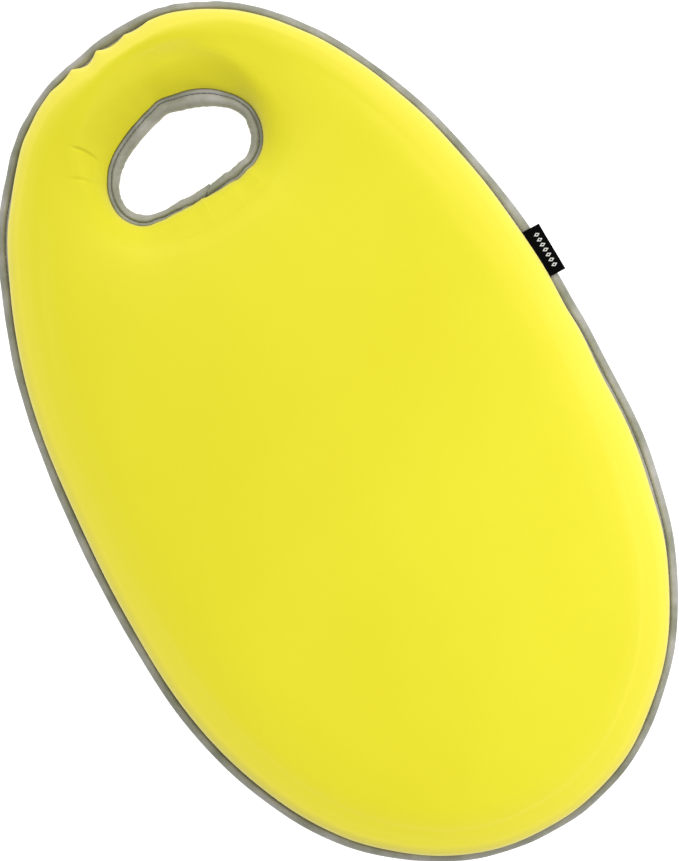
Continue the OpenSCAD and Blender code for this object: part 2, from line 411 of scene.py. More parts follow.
# The top panel was pulled into scallops as it was sewn round the narrow end. The cusps between them:
# (place across the pad, change of the lip's inset). Then each scallop: (depth, share where it is deepest)
SCALLOP_CUSPS = [
    (-68 * MM, 0),
    (-58 * MM, -0.4 * MM),
    (-47.5 * MM, -1.0 * MM),
    (-31.3 * MM, -1.5 * MM),
    (-14.2 * MM, -0.9 * MM),
    (3.5 * MM, 0.5 * MM),
    (18 * MM, 0.4 * MM),
    (26 * MM, 0),
]
SCALLOPS = [(0, 0.5), (0, 0.5), (1.3 * MM, 0.5), (3.2 * MM, 0.5), (2.5 * MM, 0.46), (1.1 * MM, 0.4), (0, 0.5)]
SCALLOP_ROUNDNESS = 0.9
SCALLOP_BLUR_PASSES = 2
# The tape was sewn down this much further in too, as a share of a scallop's depth
SCALLOP_SEWING = 0.45
# Past the lip the scallops first spread out, then fade: the runs over which each happens
SPREAD_BLUR_PASSES = 110
SCALLOP_SPREADS, SCALLOP_FADES = (0.3 * MM, 4 * MM), (4 * MM, 14 * MM)

# Faint creases beside the hand-hole: (start, end, sideways bow, depth, half width). The panel beside a
# crease is sunk by this share of its depth
CREASE_STEP = 0.6
CREASES = [
    ((-48.2 * MM, 192.6 * MM), (-39.9 * MM, 180.4 * MM), 1.1 * MM, 1.15 * MM, 0.85 * MM),
    ((-56.2 * MM, 178.6 * MM), (-46.6 * MM, 170.8 * MM), 0.5 * MM, 0.55 * MM, 0.95 * MM),
]


def lip_inset(angles):
    """Inset of the top panel's lip from the tape's outer edge, without the scallops."""
    wave = LIP_WAVE * waviness(angles, 3, 9, 40)
    return LIP_INSET + changes_at(bearing_of(EDGE, angles), LIP_CHANGES) + wave


def scallops(angles):
    """How far the scallops draw the top panel's lip back from the tape."""
    points = outline(EDGE, angles)
    x = points[:, 0]
    places, insets = zip(*SCALLOP_CUSPS)
    depth = np.interp(x, places, insets)
    for start, end, (deep, deepest) in zip(places, places[1:], SCALLOPS):
        part = np.clip((x - start) / (end - start), 0, 1)
        skew = math.log(0.5) / math.log(deepest)
        depth += deep * np.sin(math.pi * part**skew).clip(0) ** SCALLOP_ROUNDNESS
    return blurred(np.where(points[:, 1] > 0, depth, 0), SCALLOP_BLUR_PASSES)


def blurred(values, passes):
    for _ in range(passes):
        values = (np.roll(values, 1) + 2 * values + np.roll(values, -1)) / 4
    return values


def far_side(bearing):
    """1 on the hand-hole's far side, towards the pad's end, and 0 on its near side."""
    return smooth(-0.35, 0.6, np.sin(np.radians(bearing)))


def handle_crease(angles):
    """Inset of the seam between the top panel and the hand-hole's tape."""
    return tape_reach(HOLE, angles) + CREASE_GAP


def handle_hang(angles):
    """How far the top panel hangs over the hand-hole's tape from its seam."""
    return HANDLE_HANG + changes_at(bearing_of(HOLE, angles), HANDLE_HANG_CHANGES)


def nearest_distance(points, line):
    """Distance from each point to the nearest point of a line."""
    squares = [((row[:, None] - line[None]) ** 2).sum(axis=2).min(axis=1) for row in points]
    return np.sqrt(np.array(squares))


def handle_slope(points):
    """How high the top stands beside the hand-hole, from 0 at its lip to 1 past the slope."""
    samples = even_angles(512)
    line = at(HOLE, samples, handle_crease(samples) - handle_hang(samples), 0)[:, :2]
    distance = nearest_distance(points[..., :2], line)
    far = far_side(bearing_to(points, OUTLINES[HOLE]["place"]))
    run = HANDLE_RUN + HANDLE_FAR_LONGER * far
    fullness = HANDLE_FULLNESS - HANDLE_FAR_LESS_FULL * far
    return (1 - (1 - np.clip(distance / run, 0, 1)) ** HANDLE_SLOPE_POWER) ** (1 / fullness)


def flange_height(part):
    """Height of a panel's flange inside a tape, from its cut edge to the crease."""
    return COVER_T + (CREASE_H - COVER_T) * smooth(0, 0.3, part)


def top_profile(angles, drawn=0.0):
    """Rows of the top panel's outer face from the outer seam to the hand-hole's seam, and how firmly each
    is held. Drawn is how far the scallops draw back the lip."""
    softly = blurred(drawn * np.ones(len(angles)), SPREAD_BLUR_PASSES)
    lip = lip_inset(angles)
    crease = np.maximum(CREASE, lip + drawn + CREASE_GAP)
    rows, held = [], []

    def add(side, inset, height, hold):
        rows.append(at(side, angles, inset, height))
        held.append(hold)

    for part in np.linspace(0, 1, FLANGE_ROWS):
        add(EDGE, FLANGE_START + (crease - FLANGE_START) * part, flange_height(part), 1)
    for i in range(1, LIP_STEPS + 1):
        part = i / LIP_STEPS
        inset = crease + (lip + drawn - crease) * (1 - math.cos(math.pi * part)) / 2
        add(EDGE, inset, CREASE_H + (LIP_H - CREASE_H) * part, LIP_HOLD * (1 - part))
    for i in range(1, SHOULDER_STEPS + 1):
        turn = math.pi / 2 * i / SHOULDER_STEPS
        run = SHOULDER_RUN * (1 - math.cos(turn))
        sharp = 1 - smooth(*SCALLOP_SPREADS, run)
        soft = (1 - sharp) * (1 - smooth(*SCALLOP_FADES, run))
        hold = LIP_HOLD * (1 - smooth(0, HELD_SHOULDER, run))
        add(EDGE, lip + run + sharp * drawn + soft * softly, LIP_H + (crown_z - LIP_H) * math.sin(turn), hold)
    edge_top = rows[-1]
    hole_crease = handle_crease(angles)
    hole_top = at(HOLE, angles, hole_crease + HANDLE_ROWS_RUN, crown_z)
    for i in range(1, TOP_STEPS):
        part = i / TOP_STEPS
        rows.append((1 - part) * edge_top + part * hole_top)
        held.append(0)
    hang = handle_hang(angles)
    for i in range(HANDLE_STEPS + 1):
        run = (HANDLE_ROWS_RUN + hang) * (1 - math.sin(math.pi / 2 * i / HANDLE_STEPS))
        hold = LIP_HOLD * max(0, (i - HANDLE_STEPS + HANDLE_HELD_STEPS) / HANDLE_HELD_STEPS)
        add(HOLE, hole_crease - hang + run, crown_z, hold)
    sloped = slice(FLANGE_ROWS + LIP_STEPS, len(rows))
    face = domed(np.array(rows[sloped]))
    base = seam_z + HANDLE_LIP_H
    face[..., 2] = base + (face[..., 2] - base) * handle_slope(face)
    rows[sloped] = list(face)
    for i in range(1, HANDLE_LIP_STEPS + 1):
        part = i / HANDLE_LIP_STEPS
        out = ((1 + math.cos(math.pi * part)) / 2) ** 2
        add(HOLE, hole_crease - hang * out, HANDLE_LIP_H + (CREASE_H - HANDLE_LIP_H) * part, 1)
    for part in np.linspace(0, 1, FLANGE_ROWS)[1:]:
        add(HOLE, hole_crease + (FLANGE_START - hole_crease) * part, flange_height(1 - part), 1)
    return np.array(rows), held


def domed(face):
    """Lowers the top panel's face towards the pad's edge."""
    edge = OUTLINES[EDGE]
    across = face[..., 0] / edge["half_width"]
    along = face[..., 1] / edge["half_length"]
    face[..., 2] -= DOME * (across**2 + along**2) * smooth(seam_z + LIP_H, seam_z + crown_z, face[..., 2])
    return face


def crease_top(grid):
    """Presses the faint creases into the top panel, which lies a little lower on one side of each."""
    for start, end, bow, deep, half in CREASES:
        start, end = np.array(start), np.array(end)
        run = end - start
        side = np.array([-run[1], run[0]]) / np.linalg.norm(run)
        offset = grid[:, :, :2] - start
        part = (offset @ run) / (run @ run)
        within = np.clip(part, 0, 1)
        off = offset @ side - bow * np.sin(within * math.pi)
        past = (part - within) * np.linalg.norm(run)
        fade = np.sin(np.clip(within, 0.03, 0.97) * math.pi) ** 0.5 * np.exp(-((past / (2 * half)) ** 2))
        grid[:, :, 2] -= deep * np.exp(-((off / half) ** 2)) * fade
        below = (-off).clip(0)
        sunk = np.exp(-below / (4 * half)) * (1 - np.exp(-((below / half) ** 2)))
        grid[:, :, 2] -= CREASE_STEP * deep * sunk * fade
    return grid


def inner_face(outer, up):
    """The inner face of a panel, with fewer rows than its outer face. The neoprene is squeezed thin
    towards its seams."""
    rows = len(outer)
    normals = grid_normals(outer) * up
    normals[:FLANGE_ROWS] = (0, 0, up)
    normals[-FLANGE_ROWS:] = (0, 0, up)
    from_seam = np.minimum(np.arange(rows), np.arange(rows)[::-1])
    squeezed = 1 - smooth(FLANGE_ROWS, FLANGE_ROWS + SQUEEZED_ROWS, from_seam)
    thick = COVER_T * (1 - (1 - SQUEEZED_SHARE) * squeezed)
    inner = outer - normals * thick[:, None, None]
    limit = seam_z + PANEL_GAP * up
    inner[..., 2] = np.maximum(inner[..., 2], limit) if up > 0 else np.minimum(inner[..., 2], limit)
    kept = sorted({0, rows - 1} | set(range(FLANGE_ROWS, rows - FLANGE_ROWS, INNER_ROW_STEP)))
    return inner[kept]


def thick_panel(name, outer, up):
    """A closed neoprene panel from its outer face. Up is 1 for the top panel and -1 for the bottom."""
    section = np.concatenate([outer, inner_face(outer, up)[::-1]])
    return ring_mesh(name, section if up > 0 else section[::-1], closed=True)


def top_face():
    angles = even_angles(COVER_COLUMNS)
    grid, _ = top_profile(angles, scallops(angles))
    plain, held = top_profile(angles)
    grid = grid + simulate("top_panel_cloth", plain, held, TOP_PRESSURE, TOP_CAP)
    return crease_top(grid)


def bottom_profile(angles):
    """Rows of the bottom panel's outer face from the outer seam to the hand-hole's seam, and how firmly each
    is held."""
    rows, held = [], []
    for part in np.linspace(0, 1, FLANGE_ROWS):
        inset = FLANGE_START + (CREASE - FLANGE_START) * part
        rows.append(at(EDGE, angles, inset, -flange_height(part)))
        held.append(1)
    start = -CREASE_H
    for i in range(1, FOOT_STEPS + 1):
        turn = math.pi / 2 * i / FOOT_STEPS
        inset = CREASE + FOOT_RUN * (1 - math.cos(turn))
        rows.append(at(EDGE, angles, inset, start - (seam_z + start) * math.sin(turn)))
        held.append(max(0, 1 - i / FOOT_HELD_STEPS))
    edge_foot = rows[-1]
    hole_crease = handle_crease(angles)
    hole_foot = at(HOLE, angles, hole_crease + FOOT_RUN, -seam_z)
    for i in range(1, BOTTOM_STEPS):
        part = i / BOTTOM_STEPS
        rows.append((1 - part) * edge_foot + part * hole_foot)
        held.append(0)
    for i in range(FOOT_STEPS + 1):
        turn = math.pi / 2 * i / FOOT_STEPS
        inset = hole_crease + FOOT_RUN * (1 - math.sin(turn))
        rows.append(at(HOLE, angles, inset, start - (seam_z + start) * math.cos(turn)))
        held.append(max(0, (i - FOOT_STEPS + FOOT_HELD_STEPS) / FOOT_HELD_STEPS))
    for part in np.linspace(0, 1, FLANGE_ROWS)[1:]:
        inset = hole_crease + (FLANGE_START - hole_crease) * part
        rows.append(at(HOLE, angles, inset, -flange_height(1 - part)))
        held.append(1)
    return np.array(rows), held


def bottom_face():
    angles = even_angles(COVER_COLUMNS)
    grid, held = bottom_profile(angles)
    moved = simulate("bottom_panel_cloth", grid[::-1], held[::-1], BOTTOM_PRESSURE, BOTTOM_CAP)
    grid = grid + moved[::-1]
    grid[:, :, 2] = (grid[:, :, 2] + np.sqrt(grid[:, :, 2] ** 2 + RESTING**2)) / 2
    return grid


# ---------------------------------------------------------------- foams

FOAM_ROW_STEP, FOAM_COLUMN_STEP = 2, 3
FOAM_GAP = 0.5 * MM
FOAM_FILL_ROWS = 8


def foam_block(name, face, up, level, edge_rows, hole_rows):
    """A block of foam that fills a panel, up to the level where the two foams meet. It stays clear of the
    panel's rows nearest to the pad's edge and to the hand-hole."""
    rows = slice(edge_rows, -hole_rows)
    normals = grid_normals(face) * up
    skin = (face - normals * (COVER_T + FOAM_GAP))[rows][::FOAM_ROW_STEP, ::FOAM_COLUMN_STEP]
    skin[..., 2] = np.maximum(skin[..., 2], level) if up > 0 else np.minimum(skin[..., 2], level)
    first, last = skin[0].copy(), skin[-1].copy()
    first[:, 2] = last[:, 2] = level
    parts = np.arange(FOAM_FILL_ROWS + 1) / FOAM_FILL_ROWS
    meeting = (1 - parts)[:, None, None] * last + parts[:, None, None] * first
    section = np.concatenate([skin, meeting])
    return ring_mesh(name, section if up > 0 else section[::-1], closed=True)


# ---------------------------------------------------------------- stitch lines

LINE_SAMPLES = 6144


def stitch_line(side):
    """The line that a row of stitches follows: its angles, its points on the seam's level and its lengths."""
    angles = np.arange(LINE_SAMPLES + 1) * 2 * math.pi / LINE_SAMPLES
    points = at(side, angles, stitch_inset(side, angles), 0)[:, :2]
    return angles, points, lengths_along(points)


def stitch_count(side):
    return round(stitch_line(side)[2][-1] / STITCH_PITCH)


# ---------------------------------------------------------------- binding tape

TAPE_COLUMNS_A_STITCH = {EDGE: 4, HOLE: 14}
STRIP_ROWS, BAND_ROWS, ROLL_ROWS = 6, 9, 18
# A tape's inner face has one row for this many of its outer face
INNER_TAPE_STEP = 3
# The strip between the tape's cut edge and its stitching puffs up, already a little at the edge
STRIP_PUFF = 0.30 * MM
STRIP_PUFF_START, STRIP_PUFF_POWER = 0.12, 0.8
# The roll round the fold starts at least this far from the stitching
ROLL_CLEAR = 1.2 * MM
ROLL_LEAN = 0.16 * MM
HOLE_ROLL_DROP = 1.2 * MM


def tape_leg(side, angles, sewn):
    """Rows of (inset, height) on one leg of a tape, from its cut edge over the stitching to the fold."""
    stitch, reach = stitch_inset(side, angles), tape_reach(side, angles)
    roll_end = np.minimum(TAPE_R, stitch - ROLL_CLEAR)
    leg = []
    for part in np.concatenate([np.linspace(0, 1, STRIP_ROWS)[:-1], np.linspace(1, 2, BAND_ROWS)]):
        on_strip = part < 1
        inset = reach + (stitch - reach) * part if on_strip else stitch + (roll_end - stitch) * (part - 1)
        height = SEWN_H + (TAPE_R - SEWN_H) * (0 if on_strip else smooth(0, 1, part - 1))
        if on_strip:
            across = STRIP_PUFF_START + (1 - STRIP_PUFF_START) * part
            height = height + STRIP_PUFF * math.sin(math.pi * across) ** STRIP_PUFF_POWER
        groove = np.exp(-(((inset - stitch) / GROOVE_HALF) ** 2)) * (GROOVE_DEPTH + SEWN_DIP * sewn)
        leg.append((inset, height - groove))
    return leg, roll_end


def tape_section(side, angles, sewn):
    """Rows of the tape's outer face, from its edge on the top leg round the fold to its edge underneath."""
    leg, roll_end = tape_leg(side, angles, sewn)
    drop = HOLE_ROLL_DROP if side == HOLE else 0.0
    lean = ROLL_LEAN * waviness(angles, 11, 20, 60)
    rows = [(inset, height) for inset, height in leg]
    for i in range(1, ROLL_ROWS):
        turn = math.pi * i / ROLL_ROWS
        rise = TAPE_R + drop if turn < math.pi / 2 else TAPE_R - drop
        out = math.sin(turn)
        rows.append((roll_end * (1 - out) - lean * out, -drop + rise * math.cos(turn) + lean * out))
    rows += [(inset, -height) for inset, height in reversed(leg)]
    return rows


# The hand-hole's tape ends in a lap on the near side: its cut end lies along this line, over the tape's start
LAP_INNER = (5.1 * MM, 143.8 * MM)
LAP_OUTER = (1.4 * MM, 140.0 * MM)
LAP_H = 0.35 * MM
LAP_LENGTH = 9 * MM
LAP_STEP, LAP_FADE = 0.25 * MM, 2 * MM
# Grooves along the lap's end: how far behind the end, how deep and half how wide
LAP_GROOVES = [(-0.3 * MM, 0.8 * MM, 0.36 * MM), (4.6 * MM, 0.35 * MM, 0.35 * MM)]


def lapped(grid):
    """Movement outwards of the hand-hole's tape where its end laps over its start."""
    inner, outer = np.array(LAP_INNER), np.array(LAP_OUTER)
    run = (outer - inner) / np.linalg.norm(outer - inner)
    side = np.array([-run[1], run[0]])
    side *= -np.sign(side[0])
    off = (grid[:, :, :2] - inner) @ side
    near = grid[:, :, 1] < OUTLINES[HOLE]["place"][1] - 5 * MM
    height = LAP_H * smooth(0, LAP_STEP, off) * (1 - smooth(LAP_LENGTH, LAP_LENGTH + LAP_FADE, off))
    for place, deep, half in LAP_GROOVES:
        height = height - deep * np.exp(-(((off - place) / half) ** 2))
    return (height * near)[..., None] * grid_normals(grid)


def make_binding(name, side):
    """A folded tape as one closed band, in step with its stitches."""
    line_angles, _, lengths = stitch_line(side)
    count = stitch_count(side) * TAPE_COLUMNS_A_STITCH[side]
    angles = np.interp(np.arange(count) * lengths[-1] / count, lengths, line_angles)
    sewn = 0.5 + 0.5 * np.cos(np.arange(count) * 2 * math.pi / TAPE_COLUMNS_A_STITCH[side])
    outer = np.array([at(side, angles, inset, height) for inset, height in tape_section(side, angles, sewn)])
    facing = np.sign(grid_normals(outer)[0, :, 2].sum())
    if side == HOLE:
        outer = outer + lapped(outer) * facing
    inner = outer - grid_normals(outer) * facing * TAPE_T
    rows = len(outer)
    kept = sorted({0, rows - 1} | set(range(0, rows, INNER_TAPE_STEP)))
    section = np.concatenate([outer, inner[kept][::-1]])
    return ring_mesh(name, section if facing > 0 else section[::-1], closed=True)


# ---------------------------------------------------------------- stitches

THREAD_R = 0.24 * MM
# A stitch's share of the pitch, and its thickness at its ends as a share of the thread's
STITCH_SHARE = 0.92
STITCH_END_SHARE = 0.45
STITCH_RINGS, STITCH_SIDES = 9, 8
STITCH_SUNK, STITCH_ARCH = 0.30 * MM, 0.24 * MM


def on_line(line, lengths, place):
    """The point at a length along a line of points."""
    return np.array([np.interp(place, lengths, line[:, axis]) for axis in (0, 1)])


def stitch_verts(line, lengths, start, pitch, up, lift):
    """Rings of points along one stitch, which rises out of the tape and dives back into it."""
    verts = []
    for j in range(STITCH_RINGS):
        part = j / (STITCH_RINGS - 1)
        place = start + (0.5 + (part - 0.5) * STITCH_SHARE) * pitch
        x, y = on_line(line, lengths, place)
        run = on_line(line, lengths, place + 0.1 * MM) - (x, y)
        run /= np.linalg.norm(run)
        arch = 1 - (2 * part - 1) ** 4
        radius = THREAD_R * (STITCH_END_SHARE + (1 - STITCH_END_SHARE) * math.sqrt(arch))
        height = SEWN_H - STITCH_SUNK + STITCH_ARCH * arch + lift(x, y)
        for i in range(STITCH_SIDES):
            turn = 2 * math.pi * i / STITCH_SIDES
            out = math.cos(turn) * radius
            z = seam_z + up * (height + math.sin(turn) * radius)
            verts.append((x - run[1] * out, y + run[0] * out, z))
    return verts


def tube_faces(base, rings, sides):
    """Faces of a tube with capped ends, whose points start at base."""
    faces = []
    for j in range(rings - 1):
        for i in range(sides):
            n = (i + 1) % sides
            low, high = base + j * sides, base + (j + 1) * sides
            faces.append((low + i, low + n, high + n, high + i))
    faces.append(tuple(base + i for i in reversed(range(sides))))
    faces.append(tuple(base + (rings - 1) * sides + i for i in range(sides)))
    return faces


def no_lift(x, y):
    return 0


def make_stitches(name, side, up, lift):
    """A row of lockstitches, each a short thread sunk in the tape."""
    _, line, lengths = stitch_line(side)
    count = stitch_count(side)
    pitch = lengths[-1] / count
    verts, faces = [], []
    for k in range(count):
        faces += tube_faces(len(verts), STITCH_RINGS, STITCH_SIDES)
        verts += stitch_verts(line, lengths, k * pitch, pitch, up, lift)
    if up < 0:
        faces = [face[::-1] for face in faces]
    mesh = bpy.data.meshes.new(name)
    mesh.from_pydata(verts, [], faces)
    return make_piece(name, mesh)


# ---------------------------------------------------------------- label

flap_low, flap_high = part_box("side_label")
tail_low, tail_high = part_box("label_tail")
hinge = frame["joints"][0]
hinge_x, hinge_z = hinge["pos_m"][0], hinge["pos_m"][2]
LABEL_T = 0.34 * MM
LABEL_FOLD_R = 0.46 * MM
# The ribbon's ends lie this far inside the tail's box, and it rests this far above the box's underside
LABEL_ROOT = 2.0 * MM
LABEL_REST = 0.04 * MM
LABEL_LEG_STEPS, LABEL_FOLD_STEPS, LABEL_COLUMNS = 26, 8, 44
# The label was sewn in a little slanted, its loose part curls, and the stitches pinch its two legs together
LABEL_SLANT = math.tan(math.radians(2.2))
LABEL_WAVE, LABEL_CURL = 0.35 * MM, 0.45 * MM
LABEL_PINCH = 0.18 * MM
label_root, label_end = tail_low.x + LABEL_ROOT, flap_high.x


def label_section():
    """The folded ribbon's section as points (x, height) round its outer and inner face, and how far along
    the ribbon each of them lies."""
    leg = label_end - LABEL_FOLD_R - label_root
    path = [label_root + leg * i / LABEL_LEG_STEPS for i in range(LABEL_LEG_STEPS + 1)]
    under = [(x, LABEL_T / 2) for x in path]
    fold = []
    for i in range(1, LABEL_FOLD_STEPS):
        turn = math.pi * i / LABEL_FOLD_STEPS
        z = LABEL_FOLD_R - (LABEL_FOLD_R - LABEL_T / 2) * math.cos(turn)
        fold.append((label_end - LABEL_FOLD_R + LABEL_FOLD_R * math.sin(turn), z))
    over = [(x, 2 * LABEL_FOLD_R - LABEL_T / 2) for x in reversed(path)]
    centre = np.array(under + fold + over)
    run = np.gradient(centre, axis=0)
    run /= np.linalg.norm(run, axis=1, keepdims=True)
    side = np.stack([run[:, 1], -run[:, 0]], axis=1) * LABEL_T / 2
    lengths = lengths_along(centre)
    return np.concatenate([centre + side, (centre - side)[::-1]]), np.concatenate([lengths, lengths[::-1]])


def label_point(x, y, z):
    """Where a point of the flat label lies once the label is slanted, curled and pinched."""
    part = (y - flap_low.y) / (flap_high.y - flap_low.y)
    out = smooth(label_root + 2 * MM, label_end, x)
    curl = (LABEL_WAVE * math.sin(part * 5.1 + 0.6) + LABEL_CURL * (2 * part - 1) ** 2) * out
    lean = -LABEL_SLANT * (y - (flap_low.y + flap_high.y) / 2) * smooth(label_root, hinge_x, x)
    held = 1 - smooth(hinge_x - 1.5 * MM, hinge_x + 1.0 * MM, x)
    pinch = held * LABEL_PINCH * (z > LABEL_FOLD_R)
    return x + lean, y, tail_low.z + LABEL_REST + z + curl - pinch


def make_label():
    """A woven ribbon folded in half, sewn down at its two ends, as one closed mesh with its UV in metres."""
    section, lengths = label_section()
    ys = np.linspace(flap_low.y, flap_high.y, LABEL_COLUMNS)
    verts = [label_point(x, y, z) for y in ys for x, z in section]
    size = len(section)
    faces, uvs = [], []
    for c in range(LABEL_COLUMNS - 1):
        for i in range(size):
            n = (i + 1) % size
            faces.append((c * size + i, c * size + n, (c + 1) * size + n, (c + 1) * size + i))
            here, there = lengths[i], lengths[n]
            uvs += [(here, ys[c]), (there, ys[c]), (there, ys[c + 1]), (here, ys[c + 1])]
    for c in (0, LABEL_COLUMNS - 1):
        for i in range(size // 2 - 1):
            quad = (c * size + i, c * size + i + 1, c * size + size - 2 - i, c * size + size - 1 - i)
            faces.append(quad[::-1] if c > 0 else quad)
            uvs += [(lengths[i], ys[c])] * 4
    mesh = bpy.data.meshes.new("label_ribbon")
    mesh.from_pydata(verts, [], faces)
    layer = mesh.uv_layers.new(name="lengths")
    layer.data.foreach_set("uv", np.array(uvs, np.float32).reshape(-1))
    return make_piece("label_ribbon", mesh), lengths.max()


CLIMB_RUN, CLIMB_CLEAR = 1.5 * MM, 0.05 * MM


def lift_over_tail(x, y):
    """The thread climbs on to the label's tail."""
    if x < 0:
        return 0
    on = smooth(tail_low.y - CLIMB_RUN, tail_low.y, y)
    off = smooth(tail_high.y, tail_high.y + CLIMB_RUN, y)
    return (tail_high.z - tail_low.z + CLIMB_CLEAR) * (on * (1 - off))


# ---------------------------------------------------------------- materials


def new_material(name):
    material = bpy.data.materials.new(name)
    material.use_nodes = True
    tree = material.node_tree
    shader = tree.nodes["Principled BSDF"]
    return material, tree, shader


def node(tree, kind, **values):
    """A shader node with values for its sockets or its settings."""
    made = tree.nodes.new(kind)
    for key, value in values.items():
        if key in made.inputs:
            made.inputs[key].default_value = value
        else:
            setattr(made, key, value)
    return made


def link(tree, from_node, output, to_node, socket):
    tree.links.new(from_node.outputs[output], to_node.inputs[socket])


def texture(tree, kind, where, **values):
    """A texture node, such as Noise, over coordinates (node, output)."""
    made = node(tree, "ShaderNodeTex" + kind, **values)
    link(tree, *where, made, "Vector")
    return made


def ramp(tree, source, output, stops):
    """A colour ramp over a node's output. Each stop is (place, colour)."""
    made = node(tree, "ShaderNodeValToRGB")
    elements = made.color_ramp.elements
    while len(elements) < len(stops):
        elements.new(0.5)
    for element, (place, colour) in zip(elements, stops):
        element.position = place
        element.color = (*colour, 1)
    link(tree, source, output, made, "Fac")
    return made


# Sockets of a node that mixes two colours
MIX_SHARE, MIX_ONE, MIX_OTHER, MIX_RESULT = 0, 6, 7, 2


def multiplied(tree, share, one, other):
    """A colour multiplied by a share of another. Each is (node, output)."""
    made = node(tree, "ShaderNodeMix", data_type="RGBA", blend_type="MULTIPLY")
    made.inputs[MIX_SHARE].default_value = share
    link(tree, *one, made, MIX_ONE)
    link(tree, *other, made, MIX_OTHER)
    return made


def map_range(tree, source, output, low, high, to_low=0.0, to_high=1.0):
    """Maps a node's output from low and high to to_low and to_high."""
    made = node(tree, "ShaderNodeMapRange")
    for socket, value in zip(("From Min", "From Max", "To Min", "To Max"), (low, high, to_low, to_high)):
        made.inputs[socket].default_value = value
    link(tree, source, output, made, "Value")
    return made


def bump(tree, shader, chain):
    """Stacks bumps on a shader: each is (node, output, strength, height in metres)."""
    last = None
    for source, output, strength, distance in chain:
        b = node(tree, "ShaderNodeBump", Strength=strength, Distance=distance)
        link(tree, source, output, b, "Height")
        if last is not None:
            link(tree, last, "Normal", b, "Normal")
        last = b
    link(tree, last, "Normal", shader, "Normal")


def bands(tree, where, direction, pitch, **values):
    """Parallel bands at a pitch in metres."""
    scale = 2 * math.pi / pitch / 20
    return texture(tree, "Wave", where, wave_type="BANDS", bands_direction=direction, Scale=scale, **values)


def object_points(tree):
    return node(tree, "ShaderNodeTexCoord"), "Object"


def ribbon_lengths(tree):
    """Lengths along and across a tape or ribbon."""
    return node(tree, "ShaderNodeUVMap", uv_map="lengths"), "UV"


# The pale, less saturated colour painted on the knit's tilted shoulders as a painted sheen and highlight
PAINTED_RIM_SHEEN_COLOUR = (0.835, 0.742, 0.060)
# The upright part of the surface's normal where the painted sheen starts and where it is strongest
PAINTED_SHEEN_STARTS, PAINTED_SHEEN_FULL = 0.9998, 0.93
# How far the slope to the hand-hole reaches from the hole's middle, along X and along Y, and the shares of
# that reach between which it ends
SLOPE_REACH = (68 * MM, 50 * MM)
SLOPE_ENDS = (0.85, 1.2)


def painted_sheen_share(tree, where):
    """How much painted sheen the knit gets. It grows as the surface tilts over the pad's shoulders, and there
    is none on the slope down to the hand-hole."""
    split = node(tree, "ShaderNodeSeparateXYZ")
    link(tree, node(tree, "ShaderNodeNewGeometry"), "Normal", split, "Vector")
    upright = node(tree, "ShaderNodeMath", operation="ABSOLUTE")
    link(tree, split, "Z", upright, 0)
    painted_sheen_tilt = map_range(tree, upright, "Value", PAINTED_SHEEN_STARTS, PAINTED_SHEEN_FULL)
    from_hole = node(tree, "ShaderNodeVectorMath", operation="SUBTRACT")
    from_hole.inputs[1].default_value = (*OUTLINES[HOLE]["place"], 0)
    link(tree, *where, from_hole, 0)
    scaled = node(tree, "ShaderNodeVectorMath", operation="MULTIPLY")
    scaled.inputs[1].default_value = (1 / SLOPE_REACH[0], 1 / SLOPE_REACH[1], 0)
    link(tree, from_hole, "Vector", scaled, 0)
    apart = node(tree, "ShaderNodeVectorMath", operation="LENGTH")
    link(tree, scaled, "Vector", apart, 0)
    past_slope = map_range(tree, apart, "Value", *SLOPE_ENDS)
    share = node(tree, "ShaderNodeMath", operation="MULTIPLY")
    link(tree, painted_sheen_tilt, "Result", share, 0)
    link(tree, past_slope, "Result", share, 1)
    return share


def neoprene():
    """A fine yellow knit with a painted sheen: it is painted paler where its surface tilts over the pad's
    shoulders.
    """
    material, tree, shader = new_material("yellow_neoprene")
    where = object_points(tree)
    broad = texture(tree, "Noise", where, Scale=9.0, Detail=3.0, Roughness=0.5)
    tint = ramp(tree, broad, "Fac", [(0.30, (0.715, 0.655, 0.010)), (0.70, (0.745, 0.690, 0.015))])
    # Painted sheen: the knit's colour is mixed towards the paler colour as the surface tilts
    paler = node(tree, "ShaderNodeMix", data_type="RGBA")
    paler.inputs[MIX_OTHER].default_value = (*PAINTED_RIM_SHEEN_COLOUR, 1)
    link(tree, painted_sheen_share(tree, where), "Value", paler, MIX_SHARE)
    link(tree, tint, "Color", paler, MIX_ONE)
    knit = texture(tree, "Voronoi", where, Scale=1500.0, Randomness=0.55)
    fine = texture(tree, "Noise", where, Scale=700.0, Detail=4.0, Roughness=0.6)
    speck = ramp(tree, fine, "Fac", [(0.0, (0.94, 0.94, 0.90)), (1.0, (1.0, 1.0, 1.0))])
    colour = multiplied(tree, 0.6, (paler, MIX_RESULT), (speck, "Color"))
    link(tree, colour, MIX_RESULT, shader, "Base Color")
    rough = map_range(tree, fine, "Fac", 0.0, 1.0, to_low=0.55, to_high=0.68)
    link(tree, rough, "Result", shader, "Roughness")
    shader.inputs["Specular IOR Level"].default_value = 0.25
    shader.inputs["Sheen Weight"].default_value = 0.4
    shader.inputs["Sheen Roughness"].default_value = 0.5
    shader.inputs["Sheen Tint"].default_value = (1.0, 0.9, 0.8, 1)
    bump(tree, shader, [(knit, "Distance", 0.25, 0.00010), (fine, "Fac", 0.20, 0.00012)])
    return material


